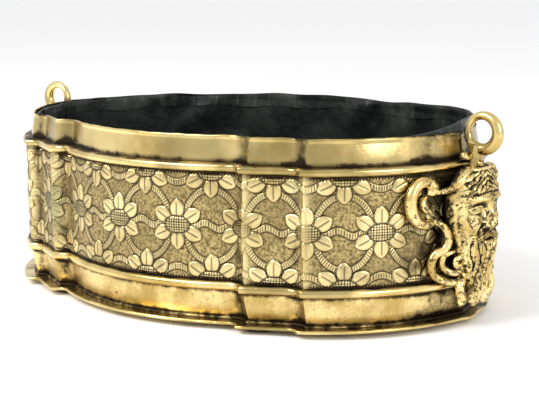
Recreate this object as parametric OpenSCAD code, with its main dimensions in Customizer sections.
/* [Whole pot] */
// Height of the brass rim above the table
pot_height = 134; // [100:1:180]
// Radius of the long front and back lobes
lobe_radius = 163.4; // [120:0.2:220]
// Half the sweep of the long lobes in degrees
lobe_sweep = 28.2; // [20:0.1:35]
// Radius of the four corner lobes
corner_radius = 137.7; // [100:0.1:180]
// Sweep of each corner lobe in degrees
corner_sweep = 48; // [40:0.5:55]
// Length of the four narrow panels
panel_length = 30.6; // [20:0.1:45]
// Radius of the cove beside each long lobe
cove_radius = 12.7; // [8:0.1:16]
// Radius of the cove beside each corner lobe
small_cove_radius = 13.3; // [8:0.1:16]

/* [Brass bands] */
// Thickness of the sheet brass
sheet = 1.2; // [0.8:0.1:2.5]
// Height of the plain lip
lip_height = 18.1; // [12:0.1:25]
// Height of each bead
bead_height = 6.9; // [5:0.1:9]
// How far the beads stand out
bead_stand = 3.6; // [2:0.1:5]
// Height of the flowered frieze
frieze_height = 74.9; // [60:0.1:90]
// Inward slope of the base band over its height
band_slope = 4; // [0:0.1:6]
// How far the foot flange stands out
flange_stand = 6.4; // [3:0.1:9]
// Height of the foot flange
flange_height = 2.5; // [1.5:0.1:4]

/* [Feet] */
// Radius of the bun feet
foot_radius = 13.5; // [9:0.5:18]
// Height of the flange above the table
foot_clear = 4; // [2:0.5:8]
// Foot centre, along the pot
foot_x = 94; // [80:1:110]
// Foot centre, across the pot
foot_y = 98; // [80:1:104]

/* [Masks and ring eyes] */
// Height of the mask's crown above the table
mask_top = 112; // [105:0.5:113]
// Height of the beard's tip above the table
mask_bottom = 15; // [10:0.5:25]
// Radius of the hole in each ring eye
eye_hole_radius = 8; // [6:0.1:10]
// Outer radius of each ring eye
eye_radius = 14.2; // [11:0.1:17]
// Width of the true round wall inside each ring eye
eye_land = 3.6; // [2:0.1:6]

/* [Lead liner] */
// Thickness of the lead sheet
lead = 1.2; // [0.8:0.1:3]
// Height of the liner's edge above the brass rim
liner_rise = 6; // [2:0.5:12]
// Depth of the folded hem
hem_depth = 10.5; // [6:0.5:16]
// Gap from the lip's inner face to the liner
liner_gap = 1; // [0.5:0.1:3]

/* [Hidden] */
$fn = 48;

brass = [0.80, 0.64, 0.30];
brass_dark = [0.62, 0.48, 0.22];
lead_grey = [0.20, 0.22, 0.21];
bun_black = [0.06, 0.06, 0.06];
// Gap left between soldered neighbours so that no two solids share a face
seam = 0.05;

// Headings are degrees from the long axis, positive towards the back.
cove_end = -52;
panel_heading = 28;
// The panels are a hair off flat, so they are arcs of a very large circle.
panel_bow = 0.35;
panel_radius = panel_length * 90 / (PI * panel_bow);
small_cove_end = -31.5;
corner_start = 32;
end_start = corner_start + corner_sweep;
// The shallow coves beside the masks and the narrow flat between them.
end_cove_radius = 8.9;
end_cove_sweep = 31.4;
end_round_radius = 13.5;
end_round_start = 73;
// Each arc of the quarter plan: radius, first heading, last heading, steps.
QUARTER = [
  [lobe_radius, 0, lobe_sweep, 5],
  [cove_radius, lobe_sweep, cove_end, 5],
  [panel_radius, panel_heading - panel_bow, panel_heading + panel_bow, 1],
  [small_cove_radius, panel_heading + panel_bow, small_cove_end, 4],
  [corner_radius, corner_start, end_start, 7],
  [end_cove_radius, end_start, end_start - end_cove_sweep, 2],
  [end_round_radius, end_round_start, 90, 1]
];
arcs = len(QUARTER);

function out(h) = [sin(h), -cos(h)];
function bend(a) = a[2] > a[1] ? 1 : -1;
function arc_end(p, a) = p + bend(a) * a[0] * (out(a[2]) - out(a[1]));
function starts(i, p) = i == arcs ? [p] : concat([p], starts(i + 1, arc_end(p, QUARTER[i])));
CORNERS = starts(0, [0, 0]);
half_width = CORNERS[arcs][1];
half_length = CORNERS[arcs][0];

// One point of the plan, pushed out square to the wall by d.
function arc_point(i, k, d) =
  let (a = QUARTER[i], h = a[1] + (a[2] - a[1]) * k / a[3], s = bend(a))
  CORNERS[i] - s * a[0] * out(a[1]) + (s * a[0] + d) * out(h);
function ridge(i) = i > 0 && abs(QUARTER[i][1] - QUARTER[i - 1][2]) > 3;
function ridge_point(i, d) =
  let (turn = (QUARTER[i][1] - QUARTER[i - 1][2]) / 2)
  CORNERS[i] + d / cos(turn) * out(QUARTER[i][1] - turn);
function down(list) = [for (p = list) [p[0], p[1] - half_width]];
function quarter(d) = down(concat(
  [for (i = [0 : arcs - 1]) for (k = [0 : QUARTER[i][3] - 1])
    k == 0 && ridge(i) ? ridge_point(i, d) : arc_point(i, k, d)],
  [CORNERS[arcs] + [d, 0]]));
// The liner is beaten to the plan but passes straight behind the coves.
function liner_quarter(d) = down(concat(
  [for (k = [0 : 5]) arc_point(0, k, d)],
  [arc_point(1, 2, d), arc_point(3, 2, d)],
  [for (k = [1 : 6]) arc_point(4, k, d)],
  [CORNERS[arcs] + [d, 0]]));
function both_sides(q) = concat(
  [for (i = [len(q) - 1 : -1 : 1]) [-q[i][0], q[i][1]]], q);
function turned(list) = [for (i = [len(list) - 1 : -1 : 0]) list[i]];

// A strip bent round half the pot with the section given as [offset, height].
module strip(section) {
  rows = [for (s = section) both_sides(quarter(s[0]))];
  m = len(section);
  n = len(rows[0]);
  points = [for (i = [0 : n - 1]) for (j = [0 : m - 1])
    [rows[j][i][0], rows[j][i][1] - seam / 2, section[j][1]]];
  skin = [for (i = [0 : n - 2]) for (j = [0 : m - 1])
    let (a = i * m + j, b = i * m + (j + 1) % m) [[a, a + m, b], [b, a + m, b + m]]];
  faces = concat(
    [for (f = skin) f[0]],
    [for (f = skin) f[1]],
    [[for (j = [m - 1 : -1 : 0]) (n - 1) * m + j]],
    [[for (j = [0 : m - 1]) j]]);
  polyhedron(points, faces);
}

// A plain upright wall between two offsets.
module wall(d_out, d_in, z0, z1) {
  translate([0, -seam / 2, z0])
    linear_extrude(z1 - z0)
      polygon(concat(both_sides(quarter(d_out)), turned(both_sides(quarter(d_in)))));
}

module liner_wall(d_out, d_in, z0, z1) {
  translate([0, -seam / 2, z0])
    linear_extrude(z1 - z0)
      polygon(concat(both_sides(liner_quarter(d_out)),
        turned(both_sides(liner_quarter(d_in)))));
}

module to_back() {
  mirror([0, 1, 0]) children();
}

// Levels, from the table up.
flange_bottom = foot_clear;
flange_top = flange_bottom + flange_height;
lip_bottom = pot_height - lip_height;
bead_top = lip_bottom - seam;
bead_bottom = bead_top - bead_height + seam;
frieze_top = bead_bottom - seam;
frieze_bottom = frieze_top - frieze_height;
low_bead_top = frieze_bottom - seam;
low_bead_bottom = low_bead_top - bead_height - 0.35;
band_top = low_bead_bottom - seam;
band_bottom = flange_top + seam;
lip_foot = 3.4;
lip_lean = 2.2;
plate_bottom = flange_top + seam;
plate_top = plate_bottom + sheet;

module lip() {
  rim = lip_foot + lip_lean;
  z1 = pot_height;
  strip([
    [-lip_foot - sheet, lip_bottom], [-lip_foot, lip_bottom],
    [-rim + 0.1, z1 - 2.2], [-rim + 0.35, z1 - 0.9], [-rim - 0.2, z1 - 0.2],
    [-rim - 0.8, z1], [-rim - sheet, z1 - 0.7]
  ]);
}

module bead(z0, z1, step_in) {
  h = z1 - z0;
  s = bead_stand;
  strip([
    [-sheet, z0], [0, z0], [s * 0.62, z0 + h * 0.06], [s * 0.95, z0 + h * 0.26],
    [s, z0 + h * 0.44], [s * 0.86, z0 + h * 0.68], [s * 0.35, z0 + h * 0.88],
    [-step_in, z1], [-step_in - sheet, z1]
  ]);
}

module base_band() {
  z0 = band_bottom;
  z1 = band_top;
  strip([
    [-sheet, z1], [-band_slope - sheet, z0 + 3], [-band_slope - sheet, z0],
    [-band_slope + 2.2, z0], [-band_slope + 0.4, z0 + 1.6],
    [-band_slope, z0 + 3.4], [0, z1]
  ]);
}

module flange() {
  z0 = flange_bottom;
  z1 = flange_top;
  s = flange_stand;
  strip([
    [-band_slope - sheet, z0], [s - 1, z0], [s - 0.2, z0 + 0.35],
    [s, z0 + 1.1], [s - 0.3, z1 - 0.45], [s - 1.2, z1],
    [-band_slope - sheet, z1]
  ]);
}

module lip_front() { color(brass) lip(); }
module lip_back() { color(brass) to_back() lip(); }
module upper_bead_front() { color(brass) bead(bead_bottom, bead_top, lip_foot); }
module upper_bead_back() { color(brass) to_back() bead(bead_bottom, bead_top, lip_foot); }
module frieze() {
  color(brass_dark)
    difference() {
      wall(0, -sheet, frieze_bottom, frieze_top);
      for (side = [-1, 1])
        translate([side * half_length, -stud_y, stud_z])
          rotate([0, 90, 0]) cylinder(r = stud_r + 0.3, h = 24, center = true);
    }
}
module frieze_front() { frieze(); }
module lower_bead_front() { color(brass) bead(low_bead_bottom, low_bead_top, 0); }
module lower_bead_back() { color(brass) to_back() bead(low_bead_bottom, low_bead_top, 0); }
module base_band_front() { color(brass) base_band(); }
module base_band_back() { color(brass) to_back() base_band(); }
module flange_front() { color(brass) flange(); }
module flange_back() { color(brass) to_back() flange(); }
module frieze_back() { to_back() frieze(); }

// Threaded studs hold each mask through the frieze, with a nut inside.
stud_y = 12;
stud_z = 70;
stud_r = 1.6;

// Four places under the ridges beside the long lobes.
FEET = [[foot_x, -foot_y], [-foot_x, -foot_y], [foot_x, foot_y], [-foot_x, foot_y]];
screw_r = 2;
screw_head_r = 4;
screw_free = 0.15;
bun = (foot_clear - seam) / 2;
foot_boss_r = 6;

module base_plate() {
  color(brass_dark)
    difference() {
      translate([0, 0, plate_bottom])
        linear_extrude(plate_top - plate_bottom)
          polygon(concat(both_sides(quarter(-band_slope - sheet - 0.1)),
            [for (p = turned(both_sides(quarter(-band_slope - sheet - 0.1)))) [p[0], -p[1]]]));
      for (f = FEET)
        translate([f[0], f[1], plate_bottom - 1]) cylinder(r = screw_r + screw_free, h = 5);
    }
}

module foot(f) {
  color(bun_black)
    translate([f[0], f[1], 0])
      rotate_extrude()
        polygon(concat(
          [[screw_r + screw_free, plate_bottom - seam], [screw_r + screw_free, 1.2], [0, 1.2],
            [0, 0], [foot_radius - bun, 0]],
          [for (a = [-75 : 15 : 90])
            [foot_radius - bun + bun * cos(a), bun + bun * sin(a)]],
          [[foot_boss_r, 2 * bun], [foot_boss_r, plate_bottom - seam]]));
}

module foot_front_right() { foot(FEET[0]); }
module foot_front_left() { foot(FEET[1]); }
module foot_back_right() { foot(FEET[2]); }
module foot_back_left() { foot(FEET[3]); }

module foot_screws() {
  color(brass_dark)
    for (f = FEET)
      translate([f[0], f[1], 0]) {
        translate([0, 0, 1.6]) cylinder(r = screw_r, h = plate_top + seam - 1.6);
        translate([0, 0, plate_top + seam]) cylinder(r1 = screw_head_r, r2 = 3.2, h = 1.1);
      }
}

// Masks. Their backs stand clear of the beads on a shallow curve.
mask_back = half_length + bead_stand + 0.5;
mask_bow = 220;
mask_edge = 3;
cast_wall = 4;
mask_rows = 28;
mask_columns = 20;
function back_at(y) = mask_back - y * y / mask_bow;
// Half width and height of relief at each level above the table.
function half_face(z) = lookup(z, [
  [15, 3], [20, 8], [28, 15], [36, 20], [46, 24], [60, 26], [76, 26],
  [90, 27], [98, 25], [105, 18], [110, 11], [112, 8]]);
function middle(z) = lookup(z, [
  [15, 5], [24, 8], [38, 11], [50, 13], [57, 14], [61, 13], [72, 12],
  [84, 12], [90, 13.5], [99, 12.5], [106, 9], [112, 6.5]]);
function bump(x, w) = exp(-x * x / (w * w));
function nose(y, z) = bump(y, 4.6) * lookup(z, [[68, 0], [71, 5.5], [74, 8], [80, 5], [88, 1.5], [92, 0]]);
function brow(y, z) = 2.2 * bump(abs(y) - 11, 9) * bump(z - 91 + y * y / 90, 3.2);
function socket(y, z) = -3.4 * bump(abs(y) - 11, 6) * bump(z - 84, 4.2);
function eyeball(y, z) = 2.4 * bump(abs(y) - 11, 4) * bump(z - 83.5, 2.6);
function cheek(y, z) = 2.2 * bump(abs(y) - 15, 6) * bump(z - 73, 6);
function moustache(y, z) = 2.6 * bump(abs(y) - 7, 7) * bump(z - 67 + abs(y) * 0.35, 2.6);
function lips(y, z) = 1.6 * bump(y, 6) * bump(z - 61.5, 2);
function locks(y, z) = z < 58 ? 1.1 * sin(y * 48 + z * 7) * min(1, (58 - z) / 8) : 0;
function hair(y, z) = z > 97 ? 1.0 * sin(y * 40 + z * 16) * min(1, (z - 97) / 6) : 0;
function relief(y, z) =
  let (w = half_face(z), t = min(1, abs(y) / w))
  mask_edge + (middle(z) - mask_edge) * sqrt(max(0, 1 - t * t))
  + (1 - t * t * t) * (nose(y, z) + brow(y, z) + socket(y, z) + eyeball(y, z)
    + cheek(y, z) + moustache(y, z) + lips(y, z) + locks(y, z) + hair(y, z));

// The casting is hollow behind, so its wall stays near one thickness.
function hollow(y, z) =
  let (t = min(1, abs(y) / half_face(z)), e = min(1, (z - mask_bottom) / 8, (mask_top - z) / 8))
  max(0, relief(y, z) - cast_wall) * (1 - pow(t, 4)) * e;

module face_relief() {
  w = mask_columns + 1;
  count = w * (mask_rows + 1);
  span = mask_top - mask_bottom;
  grid = [for (r = [0 : mask_rows]) for (c = [0 : mask_columns])
    let (z = mask_bottom + span * r / mask_rows,
      t = 2 * c / mask_columns - 1,
      y = half_face(z) * sin(t * 90))
    [y, z]];
  front = [for (g = grid) [back_at(g[0]) + relief(g[0], g[1]), g[0], g[1]]];
  back = [for (g = grid) [back_at(g[0]) + hollow(g[0], g[1]), g[0], g[1]]];
  cells = [for (r = [0 : mask_rows - 1]) for (c = [0 : mask_columns - 1])
    [r * w + c, r * w + c + 1, (r + 1) * w + c, (r + 1) * w + c + 1]];
  side = [for (r = [0 : mask_rows - 1]) [r * w, (r + 1) * w, count]];
  faces = concat(
    [for (q = cells) [q[0], q[3], q[1]]],
    [for (q = cells) [q[0], q[2], q[3]]],
    [for (q = cells) [q[0] + count, q[1] + count, q[3] + count]],
    [for (q = cells) [q[0] + count, q[3] + count, q[2] + count]],
    [for (s = side) [s[0], s[0] + s[2], s[1] + s[2]]],
    [for (s = side) [s[0], s[1] + s[2], s[1]]],
    [for (s = side) let (a = s[0] + w - 1, b = s[1] + w - 1) [a, b + s[2], a + s[2]]],
    [for (s = side) let (a = s[0] + w - 1, b = s[1] + w - 1) [a, b, b + s[2]]],
    [for (c = [0 : mask_columns - 1]) [c, c + 1, c + 1 + count]],
    [for (c = [0 : mask_columns - 1]) [c, c + 1 + count, c + count]],
    [for (c = [0 : mask_columns - 1]) let (a = mask_rows * w + c) [a, a + 1 + count, a + 1]],
    [for (c = [0 : mask_columns - 1]) let (a = mask_rows * w + c) [a, a + count, a + 1 + count]]);
  polyhedron(concat(front, back), faces);
}

// A rolled scroll lying along the pot's wall; side is -1 in front, 1 behind.
module scroll(side, y, z, r, wire, first, sweep) {
  lean = atan(2 * y / mask_bow);
  translate([back_at(y) + wire, side * y, z])
    rotate([0, 0, side * lean])
      rotate([0, 90, 0])
        rotate([0, 0, side * first])
          rotate_extrude(angle = side * sweep)
            translate([r, 0]) circle(wire);
}

module mask() {
  color(brass)
    union() {
      face_relief();
      for (side = [-1, 1]) {
        scroll(side, 37, 87, 14, 2.9, -60, 265);
        scroll(side, 33.2, 95.2, 5, 2.4, 190, 215);
        scroll(side, 29, 43, 9, 2.7, -80, 300);
        scroll(side, 15, 25, 6, 2.2, -100, 200);
      }
    }
}

// The ring's centre stands beyond the end of the pot and level with its rim.
eye_reach = 12.9;
eye_x = half_length + eye_reach;
eye_z = pot_height + 1;
eye_wide = 3.4;
stem = 5.6;
tab_x = half_length + 1.2;
tab_y = 7.6;
tab_z = lip_bottom + 0.2;
tab_thick = 3;
rivet_r = 1.3;

module ring_eye() {
  color(brass)
    difference() {
      union() {
        translate([eye_x, 0, eye_z])
          rotate([90, 0, 0])
            rotate_extrude()
              polygon(concat(
                [[eye_hole_radius, -eye_land / 2], [eye_hole_radius + 1.2, -eye_wide]],
                [for (a = [-90 : 15 : 90])
                  [eye_radius - eye_wide + eye_wide * cos(a), eye_wide * sin(a)]],
                [[eye_hole_radius + 1.2, eye_wide], [eye_hole_radius, eye_land / 2]]));
        translate([mask_back + 0.1, -stem / 2, mask_top + seam]) cube([stem, stem, 12.4]);
        translate([tab_x - 3, -tab_y - 3.4, tab_z])
          cube([7, 2 * tab_y + 6.8, tab_thick]);
      }
      for (side = [-1, 1])
        translate([tab_x, side * tab_y, tab_z - 1]) cylinder(r = rivet_r + 0.1, h = 6);
    }
}

module rivet() {
  translate([0, 0, tab_z]) cylinder(r = rivet_r, h = tab_thick + 0.3);
  translate([0, 0, tab_z + tab_thick + seam])
    intersection() {
      translate([0, 0, -0.5]) sphere(2.8);
      cylinder(r = 3, h = 3);
    }
}

module eye_rivets() {
  color(brass)
    for (end = [-1, 1]) for (side = [-1, 1])
      translate([end * tab_x, side * tab_y, 0]) rivet();
}

// The studs end short of the liner, and the nuts bear on the frieze.
stud_tip = half_length - 10.2;
nut_x = half_length - 8.9;
module mask_studs() {
  color(brass_dark)
    for (end = [-1, 1]) for (side = [-1, 1])
      translate([end * stud_tip, side * stud_y, stud_z])
        rotate([0, end * 90, 0])
          cylinder(r = stud_r, h = back_at(stud_y) + hollow(stud_y, stud_z) - 0.9 - stud_tip);
}

module mask_nuts() {
  color(brass_dark)
    for (end = [-1, 1]) for (side = [-1, 1])
      translate([end * nut_x, side * stud_y, stud_z])
        rotate([0, end * 90, 0])
          difference() {
            cylinder(r = 3.2, h = 2.4, $fn = 6);
            translate([0, 0, -1]) cylinder(r = stud_r + 0.05, h = 5);
          }
}

module eye_right() { ring_eye(); }
module eye_left() { mirror([1, 0, 0]) ring_eye(); }
module mask_right() { mask(); }
module mask_left() { mirror([1, 0, 0]) mask(); }

// The liner drops in from above and rests on the screw heads.
liner_out = -lip_foot - lip_lean - sheet - liner_gap;
liner_in = liner_out - lead;
hem_in = liner_in - seam - lead * 0.8;
liner_bottom = plate_top + 1.5;
liner_top = pot_height + liner_rise;
floor_top = liner_bottom + lead;

module liner_floor() {
  color(lead_grey)
    translate([0, 0, liner_bottom])
      linear_extrude(lead)
        polygon(concat(both_sides(liner_quarter(liner_out)),
          [for (p = turned(both_sides(liner_quarter(liner_out)))) [p[0], -p[1]]]));
}
module liner_wall_front() {
  color(lead_grey) liner_wall(liner_out, liner_in, floor_top + seam, liner_top);
}
module liner_wall_back() {
  color(lead_grey) to_back() liner_wall(liner_out, liner_in, floor_top + seam, liner_top);
}
module liner_hem_front() {
  color(lead_grey) liner_wall(liner_in - seam, hem_in, liner_top - hem_depth, liner_top);
}
module liner_hem_back() {
  color(lead_grey)
    to_back() liner_wall(liner_in - seam, hem_in, liner_top - hem_depth, liner_top);
}
// The sheet's end laps over the inside of the left end, below the hem.
lap_width = 14;
module liner_lap() {
  d = liner_in - seam;
  color(lead_grey)
    intersection() {
      liner_wall(d, d - lead, floor_top + 2, liner_top - hem_depth - 0.5);
      translate([-half_length, -lap_width, 0]) cube([40, lap_width - 0.1, pot_height]);
    }
}

lip_front();
lip_back();
upper_bead_front();
upper_bead_back();
frieze_front();
frieze_back();
lower_bead_front();
lower_bead_back();
base_band_front();
base_band_back();
flange_front();
flange_back();
base_plate();
foot_front_right();
foot_front_left();
foot_back_right();
foot_back_left();
foot_screws();
mask_right();
mask_left();
eye_right();
eye_left();
eye_rivets();
mask_studs();
mask_nuts();
liner_floor();
liner_wall_front();
liner_wall_back();
liner_hem_front();
liner_hem_back();
liner_lap();
